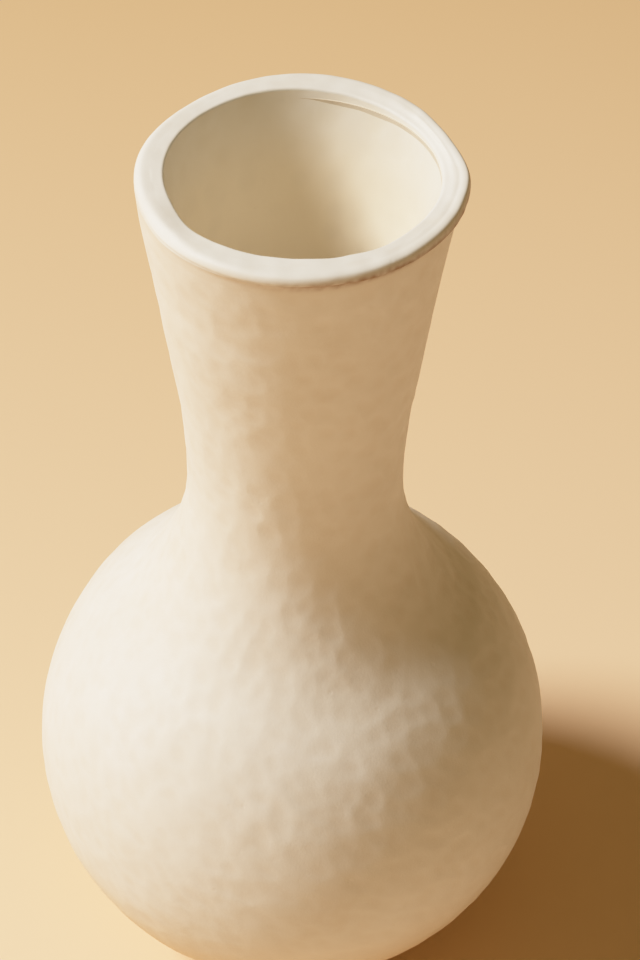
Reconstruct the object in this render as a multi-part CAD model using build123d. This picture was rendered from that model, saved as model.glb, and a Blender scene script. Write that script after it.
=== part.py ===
from build123d import *
from math import asin, cos, pi, radians, sin, sqrt
import os

# Hand-built ceramic bud vase: a round belly under a long neck that opens to a rolled lip.
#
# The vase is modelled as the clay sections that a potter joins while they are soft: a foot slab, two
# bowls that meet at the equator, a neck and a rim coil.  Each joint has a ring of slip in a scored
# groove, half of it in each section, and the inside is lined with a coat of glaze.
#
# Units are millimetres.  +Z is up, and the origin is the centre of the flat foot.

# Outer shape
OVERALL_HEIGHT = 163.0
BELLY_RADIUS = 45.0
FOOT_RADIUS = 20.0
SHOULDER_SWEEP_RADIUS = 41.5  # hollow curve that carries the shoulder up into the neck
WAIST_RADIUS = 17.7  # the neck at its narrowest
FLARE_RADIUS = 135.0  # slow curve from the waist into the straight upper neck
FLARE_ANGLE = 7.9  # lean of the straight upper neck, in degrees off vertical

# Walls
WALL = 4.0
FOOT_SLAB_THICKNESS = 5.0
GLAZE_THICKNESS = 0.4

# Rim coil
RIM_COIL_HEIGHT = 2.0
RIM_LEDGE = 0.45  # how far the coil's lower edge stands proud of the neck
RIM_BULGE = 0.5  # how much further its widest ring stands out
LIP_THICKNESS = 3.9
LIP_OUTER_ROUND = 0.8
LIP_INNER_ROUND = 0.5
LEDGE_ROUND = 0.2
LEDGE_SHIFT = (0.35, 0.05)  # the coil was pressed on by hand, a little off centre
LIP_SHIFT = (0.2, 0.4)
MOUTH_SHIFT = (0.4, -0.5)

# Slip in the joints
SLIP_KEY_WIDTH = 1.8
SLIP_KEY_HEIGHT = 1.0
FOOT_EDGE_ROUND = 0.8

# Heights and centres that follow from the sizes above
BELLY_CENTRE_Z = sqrt(BELLY_RADIUS**2 - FOOT_RADIUS**2)
SWEEP_CENTRE_R = WAIST_RADIUS + SHOULDER_SWEEP_RADIUS
CENTRE_DISTANCE = BELLY_RADIUS + SHOULDER_SWEEP_RADIUS
WAIST_Z = BELLY_CENTRE_Z + sqrt(CENTRE_DISTANCE**2 - SWEEP_CENTRE_R**2)
SHOULDER_LATITUDE = pi / 2 - asin(SWEEP_CENTRE_R / CENTRE_DISTANCE)
FLARE_CENTRE_R = WAIST_RADIUS + FLARE_RADIUS
RIM_JOINT_Z = OVERALL_HEIGHT - RIM_COIL_HEIGHT


def point(r, z):
    """A point of a profile, in the XZ plane."""
    return Vector(r, 0, z)


class Skin:
    """One face of the wall, a given distance inside the outer face."""

    def __init__(self, inset):
        self.belly = BELLY_RADIUS - inset
        self.sweep = SHOULDER_SWEEP_RADIUS + inset
        self.flare = FLARE_RADIUS + inset

    def on_belly(self, latitude):
        """The point of the belly at an angle above the equator, in radians."""
        return point(self.belly * cos(latitude), BELLY_CENTRE_Z + self.belly * sin(latitude))

    def on_sweep(self, latitude):
        """The point of the hollow curve whose normal leans up by an angle."""
        return point(SWEEP_CENTRE_R - self.sweep * cos(latitude), WAIST_Z - self.sweep * sin(latitude))

    def on_flare(self, lean):
        """The point of the slow curve above the waist where the wall leans out by an angle."""
        return point(FLARE_CENTRE_R - self.flare * cos(lean), WAIST_Z + self.flare * sin(lean))

    def latitude_at(self, z):
        """The angle above the equator at which the belly passes a height."""
        return asin((z - BELLY_CENTRE_Z) / self.belly)

    def belly_at(self, z):
        """The point of the belly at a height."""
        return self.on_belly(self.latitude_at(z))

    def neck_at(self, z):
        """The point of the straight upper neck at a height."""
        lean = radians(FLARE_ANGLE)
        start = self.on_flare(lean)
        return point(start.X + (z - start.Z) * sin(lean) / cos(lean), z)

    def belly_arc(self, low, high):
        """The belly between two angles above the equator."""
        return ThreePointArc(self.on_belly(low), self.on_belly((low + high) / 2), self.on_belly(high))

    def neck_line(self):
        """The edges from the shoulder joint up to the rim joint."""
        lean = radians(FLARE_ANGLE)
        return [
            ThreePointArc(
                self.on_sweep(SHOULDER_LATITUDE), self.on_sweep(SHOULDER_LATITUDE / 2), self.on_sweep(0)
            ),
            ThreePointArc(self.on_flare(0), self.on_flare(lean / 2), self.on_flare(lean)),
            Line(self.on_flare(lean), self.neck_at(RIM_JOINT_Z)),
        ]


OUTER = Skin(0)
INNER = Skin(WALL)
GLAZED = Skin(WALL + GLAZE_THICKNESS)


def turned(edges):
    """The solid that a closed profile makes when it is turned about the vase's axis."""
    return revolve(make_face(edges), Axis.Z)


def slip_ring(inner, outer):
    """The ring of slip in the middle of a joint that runs from an inner to an outer point."""
    middle = (inner + outer) / 2
    along = (outer - inner).normalized() * (SLIP_KEY_WIDTH / 2)
    across = Vector(-along.Z, 0, along.X).normalized() * (SLIP_KEY_HEIGHT / 2)
    corners = [middle - along - across, middle + along - across, middle + along + across, middle - along + across]
    return turned(Polyline(*corners, close=True).edges())


def bowl(low_outer, high_outer, low_inner, high_inner):
    """A zone of the round belly wall between two joints, given by angles above the equator."""
    return turned(
        [
            OUTER.belly_arc(low_outer, high_outer),
            Line(OUTER.on_belly(high_outer), INNER.on_belly(high_inner)),
            INNER.belly_arc(low_inner, high_inner),
            Line(INNER.on_belly(low_inner), OUTER.on_belly(low_outer)),
        ]
    )


def foot_slab():
    """The disc of clay that the vase stands on, its edge following the belly."""
    low, high = OUTER.latitude_at(0), OUTER.latitude_at(FOOT_SLAB_THICKNESS)
    slab = turned(
        [
            Line(point(0, 0), OUTER.on_belly(low)),
            OUTER.belly_arc(low, high),
            Line(OUTER.on_belly(high), point(0, FOOT_SLAB_THICKNESS)),
            Line(point(0, FOOT_SLAB_THICKNESS), point(0, 0)),
        ]
    )
    return fillet(slab.edges().group_by(Axis.Z)[0], FOOT_EDGE_ROUND)


def lower_bowl():
    """The bowl from the foot slab up to the equator."""
    return bowl(
        OUTER.latitude_at(FOOT_SLAB_THICKNESS), 0, INNER.latitude_at(FOOT_SLAB_THICKNESS), 0
    )


def upper_bowl():
    """The upturned bowl from the equator up to the shoulder."""
    return bowl(0, SHOULDER_LATITUDE, 0, SHOULDER_LATITUDE)


def neck():
    """The collar that sweeps up from the shoulder, narrows at the waist and opens again."""
    return turned(
        [
            *OUTER.neck_line(),
            Line(OUTER.neck_at(RIM_JOINT_Z), INNER.neck_at(RIM_JOINT_Z)),
            *INNER.neck_line(),
            Line(INNER.on_belly(SHOULDER_LATITUDE), OUTER.on_belly(SHOULDER_LATITUDE)),
        ]
    )


def ring_at(z, radius, shift=(0, 0)):
    """A level circle, moved off the axis by a shift."""
    return Pos(shift[0], shift[1], z) * Circle(radius)


def mouth_plug(top_z, inset=0):
    """The solid that fills the mouth from the rim joint up, a given distance inside its clay wall."""
    lip_radius = OUTER.neck_at(RIM_JOINT_Z).X + RIM_LEDGE + RIM_BULGE
    low = INNER.neck_at(RIM_JOINT_Z).X - inset
    high = lip_radius - LIP_THICKNESS - inset
    share = (top_z - RIM_JOINT_Z) / RIM_COIL_HEIGHT
    shift = (MOUTH_SHIFT[0] * share, MOUTH_SHIFT[1] * share)
    return loft([ring_at(RIM_JOINT_Z, low), ring_at(top_z, low + (high - low) * share, shift)])


def rim_coil():
    """The coil rolled onto the top of the neck, with a flat lip and a ledge below it."""
    ledge_radius = OUTER.neck_at(RIM_JOINT_Z).X + RIM_LEDGE
    middle_z = RIM_JOINT_Z + RIM_COIL_HEIGHT / 2
    middle_shift = [(a + b) / 2 for a, b in zip(LEDGE_SHIFT, LIP_SHIFT)]
    bead = loft(
        [
            ring_at(RIM_JOINT_Z, ledge_radius, LEDGE_SHIFT),
            ring_at(middle_z, ledge_radius + RIM_BULGE, middle_shift),
            ring_at(OVERALL_HEIGHT, ledge_radius + RIM_BULGE, LIP_SHIFT),
        ]
    )
    bead = fillet(bead.edges().group_by(Axis.Z)[-1], LIP_OUTER_ROUND)
    bead = fillet(bead.edges().group_by(Axis.Z)[0], LEDGE_ROUND)
    coil = bead - mouth_plug(OVERALL_HEIGHT)
    lip_edge = coil.faces().sort_by(Axis.Z)[-1].inner_wires()[0].edges()
    return fillet(lip_edge, LIP_INNER_ROUND)


def glaze_liner():
    """The glaze on the floor, the belly, the neck and the mouth, up to the rounded inner edge."""
    floor_z = FOOT_SLAB_THICKNESS
    coat_z = floor_z + GLAZE_THICKNESS
    top_z = OVERALL_HEIGHT - LIP_INNER_ROUND
    low, coat_low = INNER.latitude_at(floor_z), GLAZED.latitude_at(coat_z)
    coat = turned(
        [
            Line(point(0, floor_z), INNER.on_belly(low)),
            INNER.belly_arc(low, SHOULDER_LATITUDE),
            *INNER.neck_line(),
            Line(INNER.neck_at(RIM_JOINT_Z), GLAZED.neck_at(RIM_JOINT_Z)),
            *GLAZED.neck_line(),
            GLAZED.belly_arc(coat_low, SHOULDER_LATITUDE),
            Line(GLAZED.on_belly(coat_low), point(0, coat_z)),
            Line(point(0, coat_z), point(0, floor_z)),
        ]
    )
    glaze_inset = INNER.neck_at(RIM_JOINT_Z).X - GLAZED.neck_at(RIM_JOINT_Z).X
    return coat + (mouth_plug(top_z) - mouth_plug(top_z, glaze_inset))


def slip_rings():
    """The slip in the four joints, by node name."""
    return {
        "foot_slip_ring": slip_ring(INNER.belly_at(FOOT_SLAB_THICKNESS), OUTER.belly_at(FOOT_SLAB_THICKNESS)),
        "equator_slip_ring": slip_ring(INNER.on_belly(0), OUTER.on_belly(0)),
        "shoulder_slip_ring": slip_ring(
            INNER.on_belly(SHOULDER_LATITUDE), OUTER.on_belly(SHOULDER_LATITUDE)
        ),
        "rim_slip_ring": slip_ring(INNER.neck_at(RIM_JOINT_Z), OUTER.neck_at(RIM_JOINT_Z)),
    }


def build():
    """Every piece of the vase, by node name."""
    rings = slip_rings()
    clay = {
        "foot_slab": foot_slab() - rings["foot_slip_ring"],
        "lower_bowl": lower_bowl() - rings["foot_slip_ring"] - rings["equator_slip_ring"],
        "upper_bowl": upper_bowl() - rings["equator_slip_ring"] - rings["shoulder_slip_ring"],
        "neck": neck() - rings["shoulder_slip_ring"] - rings["rim_slip_ring"],
        "rim_coil": rim_coil() - rings["rim_slip_ring"],
    }
    return {**clay, **rings, "glaze_liner": glaze_liner()}


os.makedirs("parts", exist_ok=True)
for name, shape in build().items():
    export_step(shape, f"parts/{name}.step")
    print(name, round(shape.volume), "mm3")
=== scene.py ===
"""Hand-built ceramic bud vase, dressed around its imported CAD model.

The clay and glaze skin of the vase is turned once as a single closed surface, and then shaped by the
marks that a maker's hands leave: shallow dimples, an out-of-round mouth and a lip pressed on unevenly.
That skin is cut at the clay joints into the sections of the CAD model.  Each section gets its own inner
wall and joint faces, so every piece is a closed solid, and it keeps the normals of the whole skin, so no
joint shows on the outside.

Lengths are metres in the row frame: +Z up, with the origin at the centre of the foot.
"""

import logging
import math
from dataclasses import dataclass
from enum import Enum
from functools import cached_property

import bmesh
import bpy
from mathutils import Matrix, Vector, noise


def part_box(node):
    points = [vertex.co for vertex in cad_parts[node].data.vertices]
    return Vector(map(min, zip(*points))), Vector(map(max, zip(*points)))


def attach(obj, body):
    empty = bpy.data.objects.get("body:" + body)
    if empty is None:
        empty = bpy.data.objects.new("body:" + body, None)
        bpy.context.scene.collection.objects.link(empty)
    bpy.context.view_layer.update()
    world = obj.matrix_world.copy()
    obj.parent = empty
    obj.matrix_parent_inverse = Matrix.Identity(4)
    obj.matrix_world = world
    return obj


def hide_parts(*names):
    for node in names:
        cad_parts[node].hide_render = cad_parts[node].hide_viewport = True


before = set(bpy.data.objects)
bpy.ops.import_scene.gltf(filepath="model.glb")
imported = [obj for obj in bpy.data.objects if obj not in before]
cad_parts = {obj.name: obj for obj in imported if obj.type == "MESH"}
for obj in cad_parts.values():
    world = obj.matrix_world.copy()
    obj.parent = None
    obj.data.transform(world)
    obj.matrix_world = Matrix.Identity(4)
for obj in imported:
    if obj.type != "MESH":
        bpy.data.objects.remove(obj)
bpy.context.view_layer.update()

LOG = logging.getLogger("bud_vase")
MM = 0.001
AXIS = Vector((0, 0, 1))
HAIR = 0.01 * MM  # two places nearer than this count as one
WELD = 0.001 * MM  # points nearer than this are joined
SEED = 7  # fixes the vector noise, so that every run gives the same dimples
WEDGES = 8  # a full turn is made from this many equal wedges
# RELIEF also holds, as a negative value, the painted shadow under the overhanging lip.
RELIEF = "relief"  # the mesh attribute that holds how high a point stands out of its dimple
SKIN_INDEX = "skin_index"  # the mesh attribute that holds a point's number in the whole skin, from 1
ON_SKIN = "on_skin"  # the mesh attribute that tells the skin's faces from the hidden ones
Colour = tuple[float, float, float]


def smooth_step(low: float, high: float, value: float) -> float:
    """Rise smoothly from 0 at low to 1 at high."""
    share = min(max((value - low) / (high - low), 0.0), 1.0)
    return share * share * (3 - 2 * share)


def colour_of(red: int, green: int, blue: int) -> Colour:
    """Turn a display colour, 0 to 255, into the linear values that shaders take."""
    return tuple(((part / 255 + 0.055) / 1.055) ** 2.4 for part in (red, green, blue))


class Section(Enum):
    """The sections of the vase, by the CAD node that each one stands for."""

    FOOT = "foot_slab"
    LOWER_BOWL = "lower_bowl"
    UPPER_BOWL = "upper_bowl"
    NECK = "neck"
    RIM = "rim_coil"
    LINER = "glaze_liner"


@dataclass(frozen=True)
class VaseSize:
    """The vase's sizes, read from the frame where a node's box gives them."""

    belly_radius: float
    belly_centre: float
    foot_joint: float
    shoulder: float
    rim_joint: float
    height: float
    wall: float
    sweep_radius: float = 41.5 * MM
    flare_radius: float = 135.0 * MM
    flare_lean: float = math.radians(7.9)
    glaze: float = 0.4 * MM
    foot_round: float = 0.8 * MM
    ledge: float = 0.45 * MM
    bulge: float = 0.5 * MM
    lip_width: float = 4.6 * MM
    lip_outer_round: float = 1.2 * MM
    lip_inner_round: float = 0.4 * MM
    mouth_taper: float = 14.0 * MM

    @classmethod
    def from_frame(cls) -> "VaseSize":
        """Read the heights of the joints and the widths of the belly from the CAD nodes.

        Returns:
            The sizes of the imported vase.
        """
        bowl_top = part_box("lower_bowl")[1]
        belly_radius = max(bowl_top.x, bowl_top.y)
        liner_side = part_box("glaze_liner")[1]
        return cls(
            belly_radius=belly_radius,
            belly_centre=bowl_top.z,
            foot_joint=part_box("foot_slab")[1].z,
            shoulder=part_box("upper_bowl")[1].z,
            rim_joint=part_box("neck")[1].z,
            height=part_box("rim_coil")[1].z,
            wall=belly_radius - max(liner_side.x, liner_side.y),
        )

    @cached_property
    def shoulder_latitude(self) -> float:
        """The angle above the equator at which the belly turns into the hollow sweep."""
        return math.asin((self.shoulder - self.belly_centre) / self.belly_radius)

    @cached_property
    def sweep_centre(self) -> Vector:
        """The centre of the hollow sweep between the shoulder and the waist."""
        reach = self.belly_radius + self.sweep_radius
        latitude = self.shoulder_latitude
        return Vector((reach * math.cos(latitude), 0, self.belly_centre + reach * math.sin(latitude)))

    @cached_property
    def waist(self) -> float:
        """The height of the neck's narrowest place."""
        return self.sweep_centre.z

    @cached_property
    def lip_radius(self) -> float:
        """The outer radius of the lip before a hand has pressed it."""
        return self.neck_radius(self.rim_joint) + self.ledge + self.bulge

    @cached_property
    def flare_centre(self) -> Vector:
        """The centre of the arc that opens the neck above its waist."""
        return Vector((self.neck_radius(self.waist) + self.flare_radius, 0, self.waist))

    @cached_property
    def taper_start(self) -> float:
        """The height at which the inner faces start to close in on the lip's inner edge."""
        return self.rim_joint - self.mouth_taper

    @cached_property
    def edge_radius(self) -> float:
        """The radius of the mouth at the lip's inner edge."""
        return self.lip_radius - self.lip_width

    @cached_property
    def edge_height(self) -> float:
        """The height at which the lip's inner edge starts to round over."""
        return self.height - self.lip_inner_round

    def mouth_radius(self, height: float, depth: float) -> float:
        """Give an inner face's radius between the start of the mouth's taper and the lip's inner edge.

        Args:
            height: the height, from the taper's start up to the lip's inner edge.
            depth: how far the face lies inside the outer face at the taper's start.

        Returns:
            The radius.
        """
        start = self.taper_start
        low = self.neck_radius(start) - depth / math.cos(self.flare_lean)
        return low + (self.edge_radius - low) * (height - start) / (self.edge_height - start)

    def neck_radius(self, height: float) -> float:
        """Give the outer radius of the neck.

        Args:
            height: the height, from the waist up.

        Returns:
            The radius.
        """
        flare_centre = self.sweep_centre.x - self.sweep_radius + self.flare_radius
        lean_start = self.waist + self.flare_radius * math.sin(self.flare_lean)
        if height > lean_start:
            start = flare_centre - self.flare_radius * math.cos(self.flare_lean)
            return start + (height - lean_start) * math.tan(self.flare_lean)
        return flare_centre - math.sqrt(self.flare_radius**2 - (height - self.waist) ** 2)

    def outer_radius(self, height: float) -> float:
        """Give the outer radius of the belly, the sweep or the neck.

        Args:
            height: the height, from the foot's rounding up.

        Returns:
            The radius.
        """
        if height >= self.waist:
            return self.neck_radius(height)
        if height >= self.shoulder:
            drop = self.waist - height
            return self.sweep_centre.x - math.sqrt(self.sweep_radius**2 - drop**2)
        rise = height - self.belly_centre
        return math.sqrt(max(self.belly_radius**2 - rise**2, 0.0))


class Lathe:
    """Draws half a cross-section in the XZ plane with mesh operators, then turns it about the axis."""

    def __init__(self, radius: float, height: float) -> None:
        """Put down the first point."""
        self.mesh = bmesh.new()
        self.tip = self.mesh.verts.new((radius, 0, height))

    def arc(self, centre: Vector, angle: float, spacing: float) -> "Lathe":
        """Carry the line on round a centre.

        Args:
            centre: the middle of the arc.
            angle: how far to go, in radians; negative goes from the side up to the top.
            spacing: the length of one step.

        Returns:
            The lathe itself, so that calls can follow each other.
        """
        radius = (self.tip.co - centre).length
        made = bmesh.ops.spin(
            self.mesh,
            geom=[self.tip],
            cent=centre,
            axis=(0, 1, 0),
            angle=angle,
            steps=max(2, round(abs(angle) * radius / spacing)),
            use_merge=False,
        )
        self.tip = next(part for part in made["geom_last"] if isinstance(part, bmesh.types.BMVert))
        return self

    def line(self, radius: float, height: float, spacing: float) -> "Lathe":
        """Carry the line on straight.

        Args:
            radius: how far the line's new end is from the axis.
            height: how high it is.
            spacing: the length of one step.

        Returns:
            The lathe itself.
        """
        end = Vector((radius, 0, height))
        cuts = max(0, round((end - self.tip.co).length / spacing) - 1)
        made = bmesh.ops.extrude_vert_indiv(self.mesh, verts=[self.tip])
        self.tip = made["verts"][0]
        self.tip.co = end
        if cuts:
            bmesh.ops.subdivide_edges(self.mesh, edges=made["edges"], cuts=cuts)
            self.tip = min(self.mesh.verts, key=lambda vert: (vert.co - end).length)
        return self

    def turn(self, steps: int) -> bmesh.types.BMesh:
        """Turn the line once round the vase's axis: one wedge in fine steps, then copies of the wedge.

        Args:
            steps: how many flats make the full turn, a multiple of the wedges.

        Returns:
            The turned surface, with its poles closed.
        """
        wedge = math.tau / WEDGES
        line = self.mesh.verts[:] + self.mesh.edges[:]
        around = {"cent": (0, 0, 0), "axis": AXIS}
        bmesh.ops.spin(self.mesh, geom=line, angle=wedge, steps=steps // WEDGES, **around)
        whole = self.mesh.verts[:] + self.mesh.edges[:] + self.mesh.faces[:]
        rest = math.tau - wedge
        bmesh.ops.spin(self.mesh, geom=whole, angle=rest, steps=WEDGES - 1, use_duplicate=True, **around)
        bmesh.ops.remove_doubles(self.mesh, verts=self.mesh.verts, dist=WELD)
        bmesh.ops.recalc_face_normals(self.mesh, faces=self.mesh.faces)
        return self.mesh


@dataclass(frozen=True)
class Profile:
    """Draws the lines of the vase's cross-section on a lathe."""

    size: VaseSize
    steps: int = 440
    belly_step: float = 0.65 * MM
    neck_step: float = 0.8 * MM
    lip_step: float = 0.22 * MM
    inside_step: float = 1.1 * MM
    hidden_step: float = 6.0 * MM

    def skin(self) -> bmesh.types.BMesh:
        """Turn the whole outer and inner skin, from the foot over the lip to the floor inside.

        Returns:
            One closed surface.
        """
        lathe = Lathe(0, 0)
        self._draw_belly(lathe)
        self._draw_neck(lathe)
        self._draw_lip(lathe)
        self.draw_inside(lathe, self.size.wall + self.size.glaze, self.inside_step)
        return lathe.turn(self.steps)

    def _draw_belly(self, lathe: Lathe) -> None:
        """Draw the foot and the belly, with a point on every joint.

        Args:
            lathe: the lathe, with its tip where the line starts.
        """
        size = self.size
        centre = Vector((0, 0, size.belly_centre))
        rise = size.belly_centre - size.foot_round
        reach = size.belly_radius - size.foot_round
        round_centre = Vector((math.sqrt(reach**2 - rise**2), 0, size.foot_round))
        round_latitude = -math.asin(rise / reach)
        joint_latitude = math.asin((size.foot_joint - size.belly_centre) / size.belly_radius)
        lathe.line(round_centre.x, 0, self.inside_step)
        lathe.arc(round_centre, -(math.pi / 2 + round_latitude), self.lip_step)
        lathe.arc(centre, round_latitude - joint_latitude, self.belly_step)
        lathe.arc(centre, joint_latitude, self.belly_step)
        lathe.arc(centre, -size.shoulder_latitude, self.belly_step)

    def _draw_neck(self, lathe: Lathe) -> None:
        """Draw the sweep, the waist and the neck up to the rim joint.

        Args:
            lathe: the lathe, with its tip where the line starts.
        """
        size = self.size
        lathe.arc(size.sweep_centre, size.shoulder_latitude, self.neck_step)
        lathe.arc(size.flare_centre, size.flare_lean, self.neck_step)
        lathe.line(size.neck_radius(size.rim_joint), size.rim_joint, self.neck_step)

    def _draw_lip(self, lathe: Lathe) -> None:
        """Draw the ledge under the coil, its bulge, and the lip over to the mouth.

        Args:
            lathe: the lathe, with its tip where the line starts.
        """
        size = self.size
        ledge = size.lip_radius - size.bulge
        outer, inner = size.lip_outer_round, size.lip_inner_round
        mouth = size.edge_radius
        lathe.line(ledge, size.rim_joint, self.lip_step)
        lathe.line(size.lip_radius, size.rim_joint + size.bulge, self.lip_step)
        lathe.line(size.lip_radius, size.height - outer, self.lip_step)
        lathe.arc(Vector((size.lip_radius - outer, 0, size.height - outer)), -math.pi / 2, self.lip_step)
        lathe.line(mouth + inner, size.height, self.lip_step)
        lathe.arc(Vector((mouth + inner, 0, size.edge_height)), -math.pi / 2, self.lip_step)

    def draw_inside(self, lathe: Lathe, depth: float, spacing: float) -> None:
        """Draw an inner face from the lip down to the floor and in to the axis.

        Args:
            lathe: the lathe, with its tip on the lip's inner edge.
            depth: how far the face lies inside the vase's outer face.
            spacing: the length of one step.
        """
        size = self.size
        lean = size.flare_lean
        flare = size.flare_radius + depth
        belly = size.belly_radius - depth
        floor = size.foot_joint + depth - size.wall
        floor_latitude = math.asin((floor - size.belly_centre) / belly)
        lathe.line(size.mouth_radius(size.rim_joint, depth), size.rim_joint, spacing)
        lathe.line(size.mouth_radius(size.taper_start, depth), size.taper_start, spacing)
        lean_end = size.flare_centre + Vector((-flare * math.cos(lean), 0, flare * math.sin(lean)))
        lathe.line(lean_end.x, lean_end.z, spacing)
        lathe.arc(size.flare_centre, -lean, spacing)
        lathe.arc(size.sweep_centre, -size.shoulder_latitude, spacing)
        lathe.arc(Vector((0, 0, size.belly_centre)), size.shoulder_latitude - floor_latitude, spacing)
        lathe.line(0, floor, spacing)


@dataclass(frozen=True)
class Press:
    """One place where a hand pressed the lip.

    Attributes:
        azimuth: where it is, in degrees anticlockwise from +X.
        spread: how far it reaches each way, in degrees.
        push: how far it moves the clay; negative is in or down.
    """

    azimuth: float
    spread: float
    push: float

    def at(self, azimuth: float) -> float:
        """Give the push at an azimuth in degrees."""
        away = (azimuth - self.azimuth + 180) % 360 - 180
        return self.push * math.exp(-((away / self.spread) ** 2))


def pressed(presses: tuple[Press, ...], azimuth: float) -> float:
    """Add up a set of presses at an azimuth in degrees."""
    return sum(press.at(azimuth) for press in presses)


@dataclass(frozen=True)
class HandMarks:
    """What the maker's hands did to the turned skin.

    Attributes:
        cell: the width of a dimple, which cell_depth, twist, squeeze, warp and crest values shape.
        stroke: the width of the broader marks; sway is that of the slowest ones.
        calm_reach: how far below the rim joint the marks fade; foot_calm is the same at the foot.
        oval: how much wider the mouth is one way than the other.
        fill_height: how far down the neck the coil's clay was smoothed.
        outer_share: where across the lip, 0 outside to 1 inside, the outer presses give way.
        wear_depth: how far down inside the mouth the worn edge reaches; edge_depth is that outside.
        inner_worn: where across the lip the wear of the inner edge starts and is full.
    """

    size: VaseSize
    cell: float = 3.3 * MM
    cell_depth: float = 0.1 * MM
    cell_twist: float = 11.0
    cell_squeeze: float = 0.92
    cell_warp: float = 0.35
    warp_cells: float = 2.5
    inside_cells: float = 0.72
    crest_softness: float = 0.09
    crest_height: float = 0.55
    crest_limit: float = 1.4
    middle_height: float = 0.45
    mean_strength: float = 0.85
    strength_change: float = 0.45
    strength_cells: float = 4.0
    stroke: float = 9.0 * MM
    stroke_depth: float = 0.1 * MM
    sway: float = 34.0 * MM
    sway_depth: float = 0.35 * MM
    sway_shift: tuple[float, float, float] = (3.1, 7.7, 1.9)
    calm: float = 0.75
    calm_reach: float = 5.0 * MM
    calm_top: float = 0.5 * MM
    foot_calm: float = 4.0 * MM
    oval: float = 0.8 * MM
    press_top: float = 1.5 * MM
    outer_share: tuple[float, float] = (0.25, 0.95)
    fill_height: float = 16.0 * MM
    overhang: float = 0.3 * MM
    ledge_lift: float = 0.3 * MM
    ragged: float = 1.6 * MM
    ragged_depth: float = 0.2 * MM
    ragged_calm: float = 0.85
    wear_depth: float = 6.0 * MM
    edge_depth: float = 1.6 * MM
    inner_worn: tuple[float, float] = (0.35, 1.1)
    outer_worn: float = 0.35
    least_wear: float = 0.05
    most_wear: float = 0.75
    waver: float = 3.0 * MM
    waver_depth: float = 0.08
    # The following values set the painted shadow under the overhanging coil: its reach, inset, margin
    # and broken grain.
    painted_shadow_reach: float = 1.7 * MM
    painted_shadow_inset: float = 0.6 * MM
    painted_shadow_margin: float = 0.05 * MM
    painted_shadow_grain: float = 0.9 * MM
    painted_shadow_mean: float = 0.85
    painted_shadow_change: float = 0.45
    outside_presses: tuple[Press, ...] = (
        Press(0, 9, 0.3 * MM),
        Press(26, 18, -0.75 * MM),
        Press(84, 20, 0.4 * MM),
        Press(140, 30, -0.75 * MM),
        Press(-160, 30, -0.75 * MM),
        Press(-40, 22, -0.2 * MM),
    )
    mouth_presses: tuple[Press, ...] = (
        Press(10, 44, 1.0 * MM),
        Press(62, 38, 0.35 * MM),
        Press(-60, 18, 0.45 * MM),
        Press(-100, 22, -0.3 * MM),
        Press(-152, 16, -0.3 * MM),
        Press(-68, 6, -0.2 * MM),
        Press(178, 45, -0.5 * MM),
    )
    height_presses: tuple[Press, ...] = (
        Press(-8, 26, -0.3 * MM),
        Press(95, 30, 0.3 * MM),
        Press(-143, 14, -0.3 * MM),
        Press(-80, 18, 0.12 * MM),
        Press(172, 22, 0.1 * MM),
    )
    soft_edge: tuple[Press, ...] = (Press(25, 48, 1.0), Press(-143, 14, 0.5))
    outer_edge: tuple[Press, ...] = (Press(-143, 13, 0.5), Press(160, 60, 0.15), Press(0, 50, -0.6))
    stands_proud: tuple[Press, ...] = (Press(-36, 58, 1.3), Press(50, 50, 0.5))

    def painted_lip_shadow(self, point: Vector) -> float:
        """Give how much painted shadow darkens the clay under the overhanging coil, broken up by noise.

        Args:
            point: a point of the turned skin.

        Returns:
            The share of painted shadow, 0 to about 1.
        """
        size = self.size
        near = 1 - abs(point.z - size.rim_joint) / self.painted_shadow_reach
        beyond = math.hypot(point.x, point.y) - size.neck_radius(size.rim_joint)
        outermost = size.ledge + size.bulge + self.painted_shadow_margin
        if near <= 0 or not -self.painted_shadow_inset < beyond < outermost:
            return 0.0
        azimuth = math.degrees(math.atan2(point.y, point.x))
        grain = noise.noise(point / self.painted_shadow_grain)
        broken = self.painted_shadow_mean + self.painted_shadow_change * grain
        return near * broken * min(pressed(self.stands_proud, azimuth), 1.0)

    def is_inside(self, point: Vector) -> bool:
        """Tell whether a point lies on the inner face.

        Args:
            point: a point of the turned skin.

        Returns:
            True on the inner face and on the hidden walls close behind it.
        """
        radius = math.hypot(point.x, point.y)
        if point.z < self.size.foot_joint / 2:
            return False
        return radius < self.size.outer_radius(point.z) - self.size.wall / 2

    def dimple(self, point: Vector) -> float:
        """Give how high a point stands among the dimples.

        Args:
            point: a point of the turned skin.

        Returns:
            The height, 0 on a dimple's floor and about 1 on a crest.
        """
        turned = Matrix.Rotation(point.z * self.cell_twist, 3, "Z") @ point
        turned.z *= self.cell_squeeze
        warp = noise.noise_vector(turned / (self.warp_cells * self.cell))
        turned += warp * (self.cell_warp * self.cell)
        near = noise.voronoi(turned / self.cell)[0]
        blend = sum(math.exp(-distance / self.crest_softness) for distance in near)
        soft = max(-math.log(blend) * self.crest_softness, 0.0)
        return min((soft / self.crest_height) ** 2, self.crest_limit)

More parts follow.
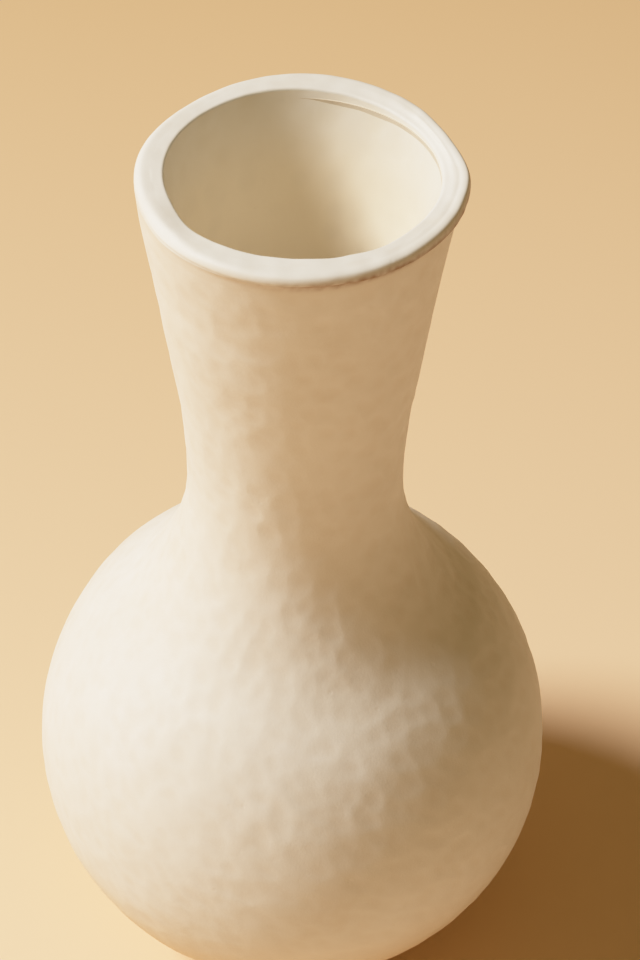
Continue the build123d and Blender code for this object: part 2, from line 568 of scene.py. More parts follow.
    def relief(self, point: Vector) -> tuple[float, float]:
        """Give the dimples and the slower strokes of the hand at a point.

        Args:
            point: a point of the turned skin.

        Returns:
            The height above the dimples' floors, 0 to about 1, and the whole offset in metres.
        """
        joint = self.size.rim_joint
        calm = 1 - self.calm * smooth_step(joint - self.calm_reach, joint + self.calm_top, point.z)
        calm *= smooth_step(0, self.foot_calm, point.z)
        change = noise.noise(point / (self.strength_cells * self.cell))
        strength = self.mean_strength + self.strength_change * change
        height = self.dimple(point * (self.inside_cells if self.is_inside(point) else 1.0))
        stroke = noise.noise(point / self.stroke)
        sway = noise.noise(point / self.sway + Vector(self.sway_shift))
        offset = (height - self.middle_height) * self.cell_depth * strength
        offset += stroke * self.stroke_depth
        return height, (offset + sway * self.sway_depth) * calm

    def lip_moves(self, point: Vector) -> tuple[float, float]:
        """Give how the pressing of the mouth moves a point.

        Args:
            point: a point of the turned skin.

        Returns:
            The move away from the axis and the move up.
        """
        size = self.size
        if point.z <= size.waist:
            return 0.0, 0.0
        radius = math.hypot(point.x, point.y)
        azimuth = math.degrees(math.atan2(point.y, point.x))
        follow = smooth_step(size.waist, size.rim_joint, point.z)
        near_lip = smooth_step(size.taper_start, size.height - self.press_top, point.z)
        out = self.oval * (1 - math.cos(2 * math.radians(azimuth))) / 2 * follow
        if near_lip <= 0:
            return out, 0.0
        up = pressed(self.height_presses, azimuth) * near_lip
        across = (size.lip_radius - radius) / size.lip_width
        on_coil = point.z > size.rim_joint - HAIR
        if on_coil:
            outer_share = 1 - smooth_step(*self.outer_share, across)
        else:
            outer_share = 0.0 if self.is_inside(point) else 1.0
        out += pressed(self.outside_presses, azimuth) * near_lip * outer_share
        opening = max((point.z - size.taper_start) / (size.height - size.taper_start), 0.0) ** 2
        out += pressed(self.mouth_presses, azimuth) * opening * (1 - outer_share)
        blended = 1 - min(pressed(self.stands_proud, azimuth), 1.0)
        if on_coil or outer_share == 0:
            up -= self._edge_drop(point, across, azimuth)
        if on_coil:
            side, lift = self._coil_move(point, radius, blended)
            out += side
            up += lift
        else:
            fill = smooth_step(size.rim_joint - self.fill_height, size.rim_joint, point.z)
            out += fill * blended * (size.ledge + size.bulge) * outer_share
        return out, up

    def _coil_move(self, point: Vector, radius: float, blended: float) -> tuple[float, float]:
        """Give how the coil's side was pulled over the neck, or left standing out above it.

        Args:
            point: a point of the coil.
            radius: its distance from the axis.
            blended: 1 where the coil's foot was smoothed into the neck, 0 where it overhangs.

        Returns:
            The move away from the axis and the move up.
        """
        size = self.size
        beyond = radius - size.neck_radius(size.rim_joint)
        if beyond < -HAIR:
            return 0.0, 0.0
        low = 1 - smooth_step(size.rim_joint, size.height - size.lip_outer_round, point.z)
        along_ledge = min(beyond / size.ledge, 1.0)
        swelling = (size.ledge + size.bulge - beyond) * blended
        ragged = noise.noise(point / self.ragged) * self.ragged_depth
        ragged *= (1 - self.ragged_calm * blended) * along_ledge
        overhang = self.overhang * (1 - blended) * along_ledge
        return (swelling + ragged) * low + overhang, self.ledge_lift * blended * along_ledge * low

    def _edge_drop(self, point: Vector, across: float, azimuth: float) -> float:
        """Give how far a soft thumb has worn the lip's inner and outer edges down.

        Args:
            point: a point of the coil or of the mouth's inner face.
            across: how far across the lip it lies, 0 outside to 1 inside.
            azimuth: where it lies round the axis, in degrees.

        Returns:
            The move down.
        """
        height = self.size.height
        top = smooth_step(height - self.edge_depth, height, point.z)
        if across > 0.5:
            top = max(1 - (height - point.z) / self.wear_depth, 0.0) ** 2
        soft = min(pressed(self.soft_edge, azimuth), 1.0)
        inner = smooth_step(*self.inner_worn, across) * (self.least_wear + self.most_wear * soft)
        outer = (1 - smooth_step(0.0, self.outer_worn, across)) * pressed(self.outer_edge, azimuth)
        waver = self.waver_depth * noise.noise(point / self.waver)
        return (inner + outer + waver) * top * MM

    def shape(self, skin: bmesh.types.BMesh) -> None:
        """Press the whole skin into its hand-made form, and note each point's relief or painted shadow.

        Args:
            skin: the turned surface, which is changed in place.
        """
        skin.normal_update()
        layer = skin.verts.layers.float.new(RELIEF)
        moves = []
        for vert in skin.verts:
            height, offset = self.relief(vert.co)
            out, up = self.lip_moves(vert.co)
            outward = Vector((vert.co.x, vert.co.y, 0))
            if outward.length > 0:
                outward.normalize()
            # Painted shadow under the lip, kept in the relief attribute as a negative value.
            painted_shadow = self.painted_lip_shadow(vert.co)
            vert[layer] = -painted_shadow if painted_shadow > 0 else height
            moves.append(vert.normal * offset + outward * out + AXIS * up)
        for vert, move in zip(skin.verts, moves):
            vert.co += move

    def follow(self, mesh: bmesh.types.BMesh) -> None:
        """Give a hidden wall the slow moves of the mouth.

        Args:
            mesh: the wall, which is changed in place.
        """
        for vert in mesh.verts:
            out, up = self.lip_moves(vert.co)
            outward = Vector((vert.co.x, vert.co.y, 0))
            if outward.length > 0:
                vert.co += outward.normalized() * out + AXIS * up


class NodeBuilder:
    """Adds and wires shader nodes in one node tree."""

    def __init__(self, tree: bpy.types.NodeTree) -> None:
        """Start with an empty tree."""
        self.tree = tree
        tree.nodes.clear()

    def add(self, kind: str, **settings: object) -> bpy.types.Node:
        """Add a node.

        Args:
            kind: the node's type, such as ShaderNodeTexNoise.
            settings: properties of the node; names of inputs are set through feed.

        Returns:
            The new node.
        """
        node = self.tree.nodes.new(kind)
        for name, value in settings.items():
            setattr(node, name, value)
        return node

    def _put(self, socket: bpy.types.NodeSocket, value: object) -> None:
        """Link an output to a socket, or set the socket's own value.

        Args:
            socket: the input.
            value: an output socket, a colour of three parts, or a plain value.
        """
        if isinstance(value, bpy.types.NodeSocket):
            self.tree.links.new(value, socket)
        elif socket.type == "RGBA":
            socket.default_value = (*value, 1.0)
        else:
            socket.default_value = value

    def feed(self, node: bpy.types.Node, **inputs: object) -> bpy.types.Node:
        """Set or link a node's inputs.

        Args:
            node: the node.
            inputs: a value or an output for each input, with an underscore for a space in its name.

        Returns:
            The same node.
        """
        for name, value in inputs.items():
            self._put(node.inputs[name.replace("_", " ")], value)
        return node

    def math(self, operation: str, first: object, second: object) -> bpy.types.NodeSocket:
        """Do arithmetic on two values.

        Args:
            operation: the name of the operation.
            first: the first value or output.
            second: the second one.

        Returns:
            The result.
        """
        node = self.add("ShaderNodeMath", operation=operation)
        self._put(node.inputs[0], first)
        self._put(node.inputs[1], second)
        return node.outputs[0]

    def noise(self, vector: bpy.types.NodeSocket, scale: object, detail: float) -> bpy.types.NodeSocket:
        """Read a cloudy noise pattern, 0 to 1."""
        node = self.feed(self.add("ShaderNodeTexNoise"), Vector=vector, Scale=scale, Detail=detail)
        return node.outputs["Fac"]

    def ramp(self, value: bpy.types.NodeSocket, low: object, high: object) -> bpy.types.NodeSocket:
        """Stretch a value smoothly so that low becomes 0 and high becomes 1."""
        node = self.add("ShaderNodeMapRange", interpolation_type="SMOOTHSTEP")
        return self.feed(node, Value=value, From_Min=low, From_Max=high).outputs["Result"]

    def mix(self, share: object, first: object, second: object) -> bpy.types.NodeSocket:
        """Mix two colours.

        Args:
            share: how much of the second colour there is.
            first: the first colour.
            second: the second colour.

        Returns:
            The mixed colour.
        """
        node = self.add("ShaderNodeMix", data_type="RGBA")
        for socket, value in ((0, share), (6, first), (7, second)):
            self._put(node.inputs[socket], value)
        return node.outputs[2]

    def dots(self, vector: bpy.types.NodeSocket, dots: "Dots") -> bpy.types.NodeSocket:
        """Scatter small round dots.

        Args:
            vector: the place.
            dots: how the dots are set out.

        Returns:
            1 at a dot's heart, falling to 0 at its edge and outside it.
        """
        cells = self.add("ShaderNodeTexVoronoi", feature="F1")
        self.feed(cells, Vector=vector, Scale=dots.scale)
        near = self.ramp(cells.outputs["Distance"], dots.edge, dots.heart)
        chosen = self.math("GREATER_THAN", cells.outputs["Color"], dots.rarity)
        return self.math("MULTIPLY", near, chosen)


@dataclass(frozen=True)
class Dots:
    """How dots are scattered.

    Attributes:
        scale: cells to the metre, each with room for one dot.
        edge: a dot's radius, as a share of a cell.
        heart: the radius within which it is full.
        rarity: the share of cells left empty.
    """

    scale: float
    edge: float
    heart: float
    rarity: float


SPECKS = Dots(260.0, edge=0.13, heart=0.05, rarity=0.93)
PINHOLES = Dots(420.0, edge=0.22, heart=0.08, rarity=0.8)


class SharedEffects:
    """The shader node groups that more than one finish uses."""

    CLOUD_SHARE = 0.65  # the rest of the clouding comes from the fine clouds
    FINE_CLOUDS = 5.3  # how many times finer they are
    CLOUD_LOW, CLOUD_MIDDLE, CLOUD_HIGH = 0.3, 0.5, 0.72
    FULL_RELIEF = 0.8
    GRAIN_RANGE = (0.3, 0.7)

    def __init__(self) -> None:
        """Build both groups once."""
        self.tone = self._build_tone()
        self.grain = self._build_grain()

    @staticmethod
    def _group(
        name: str, colours: tuple[str, ...], values: tuple[str, ...], outputs: dict[str, str]
    ) -> bpy.types.NodeTree:
        """Make an empty group that reads the place as its Vector.

        Args:
            name: the group's name.
            colours: the names of its colour inputs.
            values: the names of its plain inputs.
            outputs: the kind of each output.

        Returns:
            The group's node tree.
        """
        tree = bpy.data.node_groups.new(name, "ShaderNodeTree")
        kinds = {"Vector": "NodeSocketVector"}
        kinds |= dict.fromkeys(colours, "NodeSocketColor") | dict.fromkeys(values, "NodeSocketFloat")
        for label, kind in kinds.items():
            tree.interface.new_socket(label, in_out="INPUT", socket_type=kind)
        for label, kind in outputs.items():
            tree.interface.new_socket(label, in_out="OUTPUT", socket_type=kind)
        return tree

    def _build_tone(self) -> bpy.types.NodeTree:
        """Build the group that clouds, pools and specks a fired colour, with painted bounce light and
        lip shadow.

        Returns:
            The group's node tree.
        """
        colours = ("Base", "Deep", "Pale", "Speck", "Low")
        values = ("Relief", "Cloud Scale", "Cloud Amount", "Pooling", "Speck Amount")
        values += ("Low Top", "Low Bottom", "Low Amount")
        tree = self._group("fired_tone", colours, values, {"Color": "NodeSocketColor"})
        build = NodeBuilder(tree)
        given = build.add("NodeGroupInput").outputs
        clouds = build.noise(given["Vector"], given["Cloud Scale"], 4.0)
        fine_scale = build.math("MULTIPLY", given["Cloud Scale"], self.FINE_CLOUDS)
        fine = build.noise(given["Vector"], fine_scale, 3.0)
        broad_part = build.math("MULTIPLY", clouds, self.CLOUD_SHARE)
        both = build.math("ADD", broad_part, build.math("MULTIPLY", fine, 1 - self.CLOUD_SHARE))
        tinted = given["Base"]
        for end, colour in ((self.CLOUD_HIGH, "Deep"), (self.CLOUD_LOW, "Pale")):
            clouding = build.ramp(both, self.CLOUD_MIDDLE, end)
            amount = build.math("MULTIPLY", clouding, given["Cloud Amount"])
            tinted = build.mix(amount, tinted, given[colour])
        place = build.feed(build.add("ShaderNodeSeparateXYZ"), Vector=given["Vector"])
        # Painted warm bounce light: below Low Top the colour turns towards Low, fully at Low Bottom.
        painted_bounce_share = build.ramp(place.outputs["Z"], given["Low Top"], given["Low Bottom"])
        tinted = build.mix(build.math("MULTIPLY", painted_bounce_share, given["Low Amount"]), tinted, given["Low"])
        hollow = build.math("SUBTRACT", 1.0, build.ramp(given["Relief"], 0.0, self.FULL_RELIEF))
        pooled = build.mix(build.math("MULTIPLY", hollow, given["Pooling"]), tinted, given["Deep"])
        # Painted shadow under the overhanging lip: where the relief is negative, the colour turns to the
        # speck colour.
        pooled = build.mix(build.ramp(given["Relief"], 0.0, -self.FULL_RELIEF), pooled, given["Speck"])
        amount = build.math("MULTIPLY", build.dots(given["Vector"], SPECKS), given["Speck Amount"])
        build.feed(build.add("NodeGroupOutput"), Color=build.mix(amount, pooled, given["Speck"]))
        return tree

    def _build_grain(self) -> bpy.types.NodeTree:
        """Build the group for the tooth of the clay: soft lumps, fine grain and pinholes.

        Returns:
            The group's node tree.
        """
        values = ("Lump Scale", "Lump Amount", "Grain Scale", "Grain Amount", "Pinhole Amount")
        outputs = dict.fromkeys(("Height", "Dryness"), "NodeSocketFloat")
        tree = self._group("clay_grain", (), values, outputs)
        build = NodeBuilder(tree)
        given = build.add("NodeGroupInput").outputs
        lumps = build.noise(given["Vector"], given["Lump Scale"], 2.0)
        grain = build.noise(given["Vector"], given["Grain Scale"], 5.0)
        pinholes = build.math("MULTIPLY", build.dots(given["Vector"], PINHOLES), given["Pinhole Amount"])
        height = build.math("MULTIPLY", lumps, given["Lump Amount"])
        height = build.math("ADD", height, build.math("MULTIPLY", grain, given["Grain Amount"]))
        height = build.math("SUBTRACT", height, pinholes)
        dryness = build.ramp(grain, *self.GRAIN_RANGE)
        build.feed(build.add("NodeGroupOutput"), Height=height, Dryness=dryness)
        return tree


@dataclass(frozen=True)
class CeramicFinish:
    """One fired surface: its colours, its clouding and its tooth."""

    slot: str
    base: Colour
    deep: Colour
    pale: Colour
    # low, low_top, low_bottom and low_amount paint warm bounce light towards the bottom: full below
    # low_bottom, none above low_top.
    low: Colour = colour_of(222, 193, 142)
    low_top: float = 40.0 * MM
    low_bottom: float = 2.0 * MM
    low_amount: float = 0.0
    # The speck colour is also the colour of the painted shadow under the lip.
    speck: Colour = colour_of(150, 120, 88)
    cloud_scale: float = 70.0
    cloud_amount: float = 0.5
    pooling: float = 0.25
    speck_amount: float = 0.1
    lump_scale: float = 420.0
    lump_amount: float = 0.6
    grain_scale: float = 2600.0
    grain_amount: float = 0.35
    pinhole_amount: float = 0.3
    bump_distance: float = 0.06 * MM
    smoothest: float = 0.5
    driest: float = 0.68
    specular: float = 0.42

    def _use(self, build: NodeBuilder, group: bpy.types.NodeTree) -> bpy.types.Node:
        """Add a shared group, and set each of its inputs that this finish has a value for.

        Args:
            build: the material's builder.
            group: the group's node tree.

        Returns:
            The group's node, with the place and the relief still to be linked.
        """
        node = build.add("ShaderNodeGroup", node_tree=group)
        for label in node.inputs.keys():
            field = label.lower().replace(" ", "_")
            if hasattr(self, field):
                build.feed(node, **{label: getattr(self, field)})
        return node

    def material(self, effects: SharedEffects) -> bpy.types.Material:
        """Build the material.

        Args:
            effects: the shared node groups.

        Returns:
            A node material named after the slot.
        """
        made = bpy.data.materials.new(self.slot)
        made.use_nodes = True
        build = NodeBuilder(made.node_tree)
        place = build.add("ShaderNodeTexCoord").outputs["Object"]
        relief = build.add("ShaderNodeAttribute", attribute_name=RELIEF).outputs["Fac"]
        tone = build.feed(self._use(build, effects.tone), Vector=place, Relief=relief)
        grain = build.feed(self._use(build, effects.grain), Vector=place)
        rough = build.add("ShaderNodeMapRange")
        build.feed(rough, Value=grain.outputs["Dryness"], To_Min=self.smoothest, To_Max=self.driest)
        bump = build.add("ShaderNodeBump")
        build.feed(bump, Height=grain.outputs["Height"], Distance=self.bump_distance)
        shader = build.add("ShaderNodeBsdfPrincipled")
        build.feed(shader, Base_Color=tone.outputs["Color"], Roughness=rough.outputs["Result"])
        build.feed(shader, Normal=bump.outputs["Normal"], Specular_IOR_Level=self.specular)
        build.feed(build.add("ShaderNodeOutputMaterial"), Surface=shader.outputs["BSDF"])
        return made


MATTE_CLAY = CeramicFinish(
    slot="matte_clay_body",
    base=colour_of(232, 228, 218),
    deep=colour_of(222, 213, 197),
    pale=colour_of(239, 237, 231),
    # Painted warm light bounced from the floor onto the lower belly.
    low_amount=1.0,
)
# The rim's cooler, whiter colour is partly its satin glaze and partly painted cool light from above on
# the lip.
SATIN_RIM = CeramicFinish(
    slot="satin_rim",
    base=colour_of(233, 234, 228),
    deep=colour_of(225, 222, 211),
    pale=colour_of(239, 240, 236),
    cloud_amount=0.4,
    lump_amount=0.35,
    grain_amount=0.2,
    driest=0.62,
)
LINER_GLAZE = CeramicFinish(
    slot="clear_liner_glaze",
    base=colour_of(236, 233, 222),
    deep=colour_of(229, 221, 202),
    pale=colour_of(240, 238, 231),
    # Painted warm light bounced round deep inside the mouth.
    low=colour_of(242, 232, 211),
    low_top=165.0 * MM,
    low_bottom=147.0 * MM,
    low_amount=1.0,
    cloud_scale=55.0,
    cloud_amount=0.7,
    grain_amount=0.15,
    smoothest=0.4,
    driest=0.55,
)
JOINING_SLIP = CeramicFinish(
    slot="joining_slip",
    base=colour_of(226, 217, 200),
    deep=colour_of(208, 194, 170),
    pale=colour_of(234, 228, 215),
    smoothest=0.7,
    driest=0.9,
)
FINISHES = {Section.RIM: SATIN_RIM, Section.LINER: LINER_GLAZE}  # the other sections are matte clay


@dataclass
class Vase:
    """Builds the vase's pieces from one shaped skin."""

    size: VaseSize
    profile: Profile
    marks: HandMarks
    effects: SharedEffects

    def build(self) -> None:
        """Shape the skin, cut it into sections and dress them."""
        skin = self.profile.skin()
        sections = self._sort_faces(skin)
        self.marks.shape(skin)
        skin.normal_update()
        index = skin.verts.layers.int.new(SKIN_INDEX)
        for number, vert in enumerate(skin.verts, start=1):
            vert[index] = number
        mark = skin.faces.layers.int.new(ON_SKIN)
        for face in skin.faces:
            face[mark] = 1
        normals = [AXIS] + [vert.normal.copy() for vert in skin.verts]
        used = (MATTE_CLAY, SATIN_RIM, LINER_GLAZE)
        materials = {finish.slot: finish.material(self.effects) for finish in used}
        for section in Section:
            part = self._cut_out(skin, sections, section)
            self._close(part, section)
            slot = FINISHES.get(section, MATTE_CLAY).slot
            self._finish_piece(part, section, normals, materials[slot])
        skin.free()

    def dress_slip(self) -> None:
        """Give the hidden slip rings of the frame their material."""
        material = JOINING_SLIP.material(self.effects)
        for name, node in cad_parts.items():
            if name.endswith("slip_ring"):
                node.data.materials.clear()
                node.data.materials.append(material)
                LOG.info("%s: slip in a joint, %d faces", name, len(node.data.polygons))

    def _sort_faces(self, skin: bmesh.types.BMesh) -> list[Section]:
        """Sort the faces of the turned skin into sections.

        Args:
            skin: the skin, before it is shaped.

        Returns:
            The section of each face, in the order of the faces.
        """
        size = self.size
        tops = (
            (size.foot_joint, Section.FOOT),
            (size.belly_centre, Section.LOWER_BOWL),
            (size.shoulder, Section.UPPER_BOWL),
            (size.rim_joint - HAIR, Section.NECK),
            (math.inf, Section.RIM),
        )
        sections = []
        for face in skin.faces:
            middle = face.calc_center_median()
            radius = math.hypot(middle.x, middle.y)
            if middle.z > size.rim_joint - HAIR:
                inside = radius <= size.edge_radius and middle.z < size.edge_height
            else:
                inside = self.marks.is_inside(middle)
            if inside:
                sections.append(Section.LINER)
            else:
                sections.append(next(section for top, section in tops if middle.z < top))
        return sections

    @staticmethod
    def _cut_out(
        skin: bmesh.types.BMesh, sections: list[Section], section: Section
    ) -> bmesh.types.BMesh:
        """Copy one section's faces out of the skin.

        Args:
            skin: the whole skin.
            sections: the section of each of its faces.
            section: the section to keep.

        Returns:
            An open mesh of that section's faces.
        """
        part = skin.copy()
        part.faces.ensure_lookup_table()
        others = [face for face, owner in zip(part.faces, sections) if owner is not section]
        bmesh.ops.delete(part, geom=others, context="FACES")
        return part

    def _hidden_wall(self, section: Section) -> bmesh.types.BMesh:
        """Turn what closes a section: its joint faces, and the wall where the clay meets the glaze.

        Args:
            section: the section.

        Returns:
            An open wall whose ends lie on the ends of the section's skin.
        """
        size = self.size
        step = self.profile.hidden_step
        centre = Vector((0, 0, size.belly_centre))
        belly = size.belly_radius - size.wall
        latitude = size.shoulder_latitude
        foot_latitude = math.asin((size.foot_joint - size.belly_centre) / belly)
        neck_top = size.mouth_radius(size.rim_joint, size.wall)
        if section is Section.FOOT:
            lathe = Lathe(size.outer_radius(size.foot_joint), size.foot_joint)
            lathe.line(0, size.foot_joint, step)
        elif section is Section.LOWER_BOWL:
            lathe = Lathe(size.outer_radius(size.foot_joint), size.foot_joint)
            lathe.line(belly * math.cos(foot_latitude), size.foot_joint, step)
            lathe.arc(centre, foot_latitude, step)
            lathe.line(size.belly_radius, size.belly_centre, step)
        elif section is Section.UPPER_BOWL:
            lathe = Lathe(size.belly_radius, size.belly_centre)
            lathe.line(belly, size.belly_centre, step).arc(centre, -latitude, step)
            lathe.line(size.outer_radius(size.shoulder), size.shoulder, step)
        elif section is Section.NECK:
            lathe = Lathe(size.outer_radius(size.shoulder), size.shoulder)
            lathe.line(belly * math.cos(latitude), size.belly_centre + belly * math.sin(latitude), step)
            lathe.arc(size.sweep_centre, latitude, step)
            lathe.arc(size.flare_centre, size.flare_lean, step)
            lathe.line(size.mouth_radius(size.taper_start, size.wall), size.taper_start, step)
            lathe.line(neck_top, size.rim_joint, step)
            lathe.line(size.neck_radius(size.rim_joint), size.rim_joint, step)
        elif section is Section.RIM:
            lathe = Lathe(size.neck_radius(size.rim_joint), size.rim_joint)
            lathe.line(neck_top, size.rim_joint, step).line(size.edge_radius, size.edge_height, step)
        else:
            lathe = Lathe(size.edge_radius, size.edge_height)
            self.profile.draw_inside(lathe, size.wall, step)
        wall = lathe.turn(self.profile.steps)
        self.marks.follow(wall)
        return wall

    def _close(self, part: bmesh.types.BMesh, section: Section) -> None:
        """Give an open section its hidden wall and joint faces, so that it is a closed solid.

        Args:
            part: the section's skin, which is changed in place.
            section: which section it is.
        """
        wall = self._hidden_wall(section)
        copy = bpy.data.meshes.new("hidden_wall")
        wall.to_mesh(copy)
        wall.free()
        part.from_mesh(copy)
        bpy.data.meshes.remove(copy)
        index = part.verts.layers.int[SKIN_INDEX]
        skin_ends = [[] for _ in range(self.profile.steps)]
        wall_ends = [[] for _ in range(self.profile.steps)]
        for vert in sorted((vert for vert in part.verts if vert.is_boundary), key=self._far_along):
            ends = skin_ends if vert[index] else wall_ends
            ends[self._step_round(vert)].append(vert)
        pairs = {}
        for on_wall, on_skin in zip(wall_ends, skin_ends):
            pairs.update(zip(on_wall, on_skin))
        bmesh.ops.weld_verts(part, targetmap=pairs)
        bmesh.ops.recalc_face_normals(part, faces=part.faces)

    @staticmethod
    def _far_along(vert: bmesh.types.BMVert) -> float:
        """Order the ends of a section: from its lower or outer end to its upper or inner one."""
        return vert.co.z - math.hypot(vert.co.x, vert.co.y)

    def _step_round(self, vert: bmesh.types.BMVert) -> int:
        """Say at which step round the axis a point lies."""
        turn = math.atan2(vert.co.y, vert.co.x) / math.tau
        return round(turn * self.profile.steps) % self.profile.steps

    def _finish_piece(
        self,
        part: bmesh.types.BMesh,
        section: Section,
        normals: list[Vector],
        material: bpy.types.Material,
    ) -> None:
        """Turn a section into an object that stands for its CAD node.

        Args:
            part: the closed section.
            section: which section it is.
            normals: the whole skin's normals, by skin index.
            material: the finish.
        """
        mesh = bpy.data.meshes.new(f"{section.value}_skin")
        part.to_mesh(mesh)
        part.free()
        mesh.shade_smooth()
        self._keep_normals(mesh, normals)
        mesh.materials.append(material)
        piece = bpy.data.objects.new(f"{section.value}_skin", mesh)
        bpy.context.scene.collection.objects.link(piece)
        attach(piece, "root")
        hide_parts(section.value)
        LOG.info("%s: %d faces", piece.name, len(mesh.polygons))

    @staticmethod
    def _keep_normals(mesh: bpy.types.Mesh, normals: list[Vector]) -> None:
        """Give a piece's outer corners the whole skin's normals, so that its joints don't show.

        Args:
            mesh: the piece's mesh.
            normals: the whole skin's normals, by skin index.
        """
        number = mesh.attributes[SKIN_INDEX].data
        on_skin = mesh.attributes[ON_SKIN].data
        corners = []
        for face in mesh.polygons:
            if on_skin[face.index].value:
                corners.extend(normals[number[vert].value] for vert in face.vertices)
            else:
                corners.extend([face.normal] * face.loop_total)
        mesh.normals_split_custom_set(corners)
        for name in (SKIN_INDEX, ON_SKIN):
            mesh.attributes.remove(mesh.attributes[name])


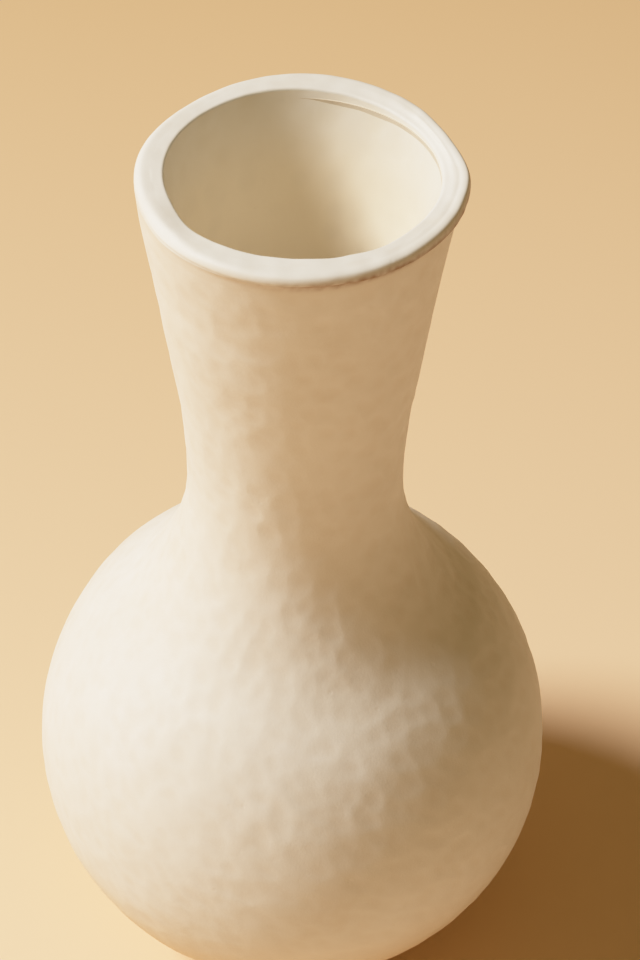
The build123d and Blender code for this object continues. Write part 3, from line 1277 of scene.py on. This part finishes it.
@dataclass(frozen=True)
class Studio:
    """The floor, the soft light and the camera."""

    floor_radius: float = 3.0
    floor_sides: int = 96
    floor_roughness: float = 0.8
    floor_specular: float = 0.2
    # near, far and the far colour paint the floor darker further back: a painted falloff of the light.
    near: float = -50.0 * MM
    far: float = 350.0 * MM
    floor_colour: Colour = colour_of(250, 219, 185)
    floor_painted_falloff_colour: Colour = colour_of(213, 179, 135)
    key_azimuth: float = math.radians(180)
    key_elevation: float = math.radians(45)
    key_distance: float = 4.0
    key_size: float = 1.6
    key_power: float = 240.0
    key_colour: Colour = (1.0, 0.92, 0.873)
    surround: Colour = (1.0, 0.64, 0.22)
    surround_strength: float = 0.21
    backdrop_strength: float = 0.8
    tones: tuple[float, ...] = (0.15, 0.3, 0.45, 0.6, 0.8, 1.0, 1.3, 1.7, 2.3, 3.2, 5.0)
    shoulder: float = 2.7
    view_elevation: float = math.radians(42.3)
    view_roll: float = math.radians(1.08)
    view_distance: float = 482.4 * MM
    aim_right: float = 4.9 * MM
    aim_up: float = 44.4 * MM
    lens: float = 100.0
    sensor: float = 36.0
    clip_start: float = 10.0 * MM

    def build(self, size: VaseSize) -> None:
        """Set up everything that isn't the vase.

        Args:
            size: the vase's sizes.
        """
        self._build_floor()
        self._build_light(size)
        self._build_surround()
        self._build_camera(size)
        self._set_tone()
        LOG.info("studio: floor, key light, surround and camera")

    def _set_tone(self) -> None:
        """Roll the brightest tones off softly, as a film print does."""
        view = bpy.context.scene.view_settings
        view.view_transform = "Standard"
        view.use_curve_mapping = True
        mapping = view.curve_mapping
        mapping.clip_max_x = self.tones[-1]
        curve = mapping.curves[3]
        curve.points[1].location = (self.tones[-1], self._rolled_off(self.tones[-1]))
        for tone in self.tones[:-1]:
            curve.points.new(tone, self._rolled_off(tone))
        mapping.update()

    def _rolled_off(self, tone: float) -> float:
        """Give how bright a tone prints."""
        return tone / (1 + tone**self.shoulder) ** (1 / self.shoulder)

    def _build_floor(self) -> None:
        """Lay a pale floor whose colour is painted darker further back, as light falls off."""
        mesh = bpy.data.meshes.new("floor")
        shape = bmesh.new()
        sides = {"segments": self.floor_sides, "radius": self.floor_radius}
        bmesh.ops.create_circle(shape, cap_ends=True, **sides)
        shape.to_mesh(mesh)
        shape.free()
        material = bpy.data.materials.new("floor_painted_falloff")
        material.use_nodes = True
        build = NodeBuilder(material.node_tree)
        place = build.add("ShaderNodeTexCoord").outputs["Object"]
        split = build.feed(build.add("ShaderNodeSeparateXYZ"), Vector=place)
        # Painted light falloff: the floor's colour darkens from near to far.
        away = build.add("ShaderNodeMapRange")
        build.feed(away, Value=split.outputs["Y"], From_Min=self.near, From_Max=self.far)
        painted_falloff_tint = build.mix(away.outputs["Result"], self.floor_colour, self.floor_painted_falloff_colour)
        shader = build.add("ShaderNodeBsdfPrincipled")
        build.feed(shader, Base_Color=painted_falloff_tint)
        build.feed(shader, Roughness=self.floor_roughness, Specular_IOR_Level=self.floor_specular)
        build.feed(build.add("ShaderNodeOutputMaterial"), Surface=shader.outputs["BSDF"])
        mesh.materials.append(material)
        floor = bpy.data.objects.new("floor", mesh)
        bpy.context.scene.collection.objects.link(floor)

    def _build_light(self, size: VaseSize) -> None:
        """Hang the soft key light to the left of the vase.

        Args:
            size: the vase's sizes.
        """
        target = Vector((0, 0, size.belly_centre))
        level = math.cos(self.key_elevation)
        towards = Vector(
            (
                level * math.cos(self.key_azimuth),
                level * math.sin(self.key_azimuth),
                math.sin(self.key_elevation),
            )
        )
        lamp = bpy.data.lights.new("key", "AREA")
        lamp.shape = "DISK"
        lamp.size = self.key_size
        lamp.energy = self.key_power
        lamp.color = self.key_colour
        key = bpy.data.objects.new("key", lamp)
        key.location = target + towards * self.key_distance
        key.rotation_euler = towards.to_track_quat("Z", "Y").to_euler()
        bpy.context.scene.collection.objects.link(key)

    def _build_surround(self) -> None:
        """Fill the shade with warm light from all round."""
        world = bpy.data.worlds.new("surround")
        bpy.context.scene.world = world
        world.use_nodes = True
        build = NodeBuilder(world.node_tree)
        glow, seen = build.add("ShaderNodeBackground"), build.add("ShaderNodeBackground")
        build.feed(glow, Color=self.surround, Strength=self.surround_strength)
        build.feed(seen, Color=self.floor_colour, Strength=self.backdrop_strength)
        camera_ray = build.add("ShaderNodeLightPath").outputs["Is Camera Ray"]
        mixed = build.add("ShaderNodeMixShader")
        build.tree.links.new(camera_ray, mixed.inputs[0])
        build.tree.links.new(glow.outputs[0], mixed.inputs[1])
        build.tree.links.new(seen.outputs[0], mixed.inputs[2])
        build.feed(build.add("ShaderNodeOutputWorld"), Surface=mixed.outputs[0])

    def _build_camera(self, size: VaseSize) -> None:
        """Stand the camera in front of the vase, looking steeply down past its rim.

        Args:
            size: the vase's sizes.
        """
        forward = Vector((0, math.cos(self.view_elevation), -math.sin(self.view_elevation)))
        up = Vector((0, math.sin(self.view_elevation), math.cos(self.view_elevation)))
        turn = Matrix.Rotation(-self.view_roll, 3, forward)
        right = turn @ Vector((1, 0, 0))
        up = turn @ up
        aim = Vector((0, 0, size.belly_centre)) + right * self.aim_right + up * self.aim_up
        lens = bpy.data.cameras.new("camera")
        lens.lens = self.lens
        lens.sensor_width = self.sensor
        lens.clip_start = self.clip_start
        camera = bpy.data.objects.new("camera", lens)
        axes = Matrix((right, up, -forward)).transposed()
        camera.matrix_world = Matrix.Translation(aim - forward * self.view_distance) @ axes.to_4x4()
        bpy.context.scene.collection.objects.link(camera)
        bpy.context.scene.camera = camera


def main() -> None:
    """Build the studio and the vase, and dress the hidden slip rings."""
    logging.basicConfig(level=logging.INFO, format="%(name)s: %(message)s")
    noise.seed_set(SEED)
    size = VaseSize.from_frame()
    Studio().build(size)
    vase = Vase(size, Profile(size), HandMarks(size), SharedEffects())
    vase.build()
    vase.dress_slip()


if __name__ == "__main__":
    main()
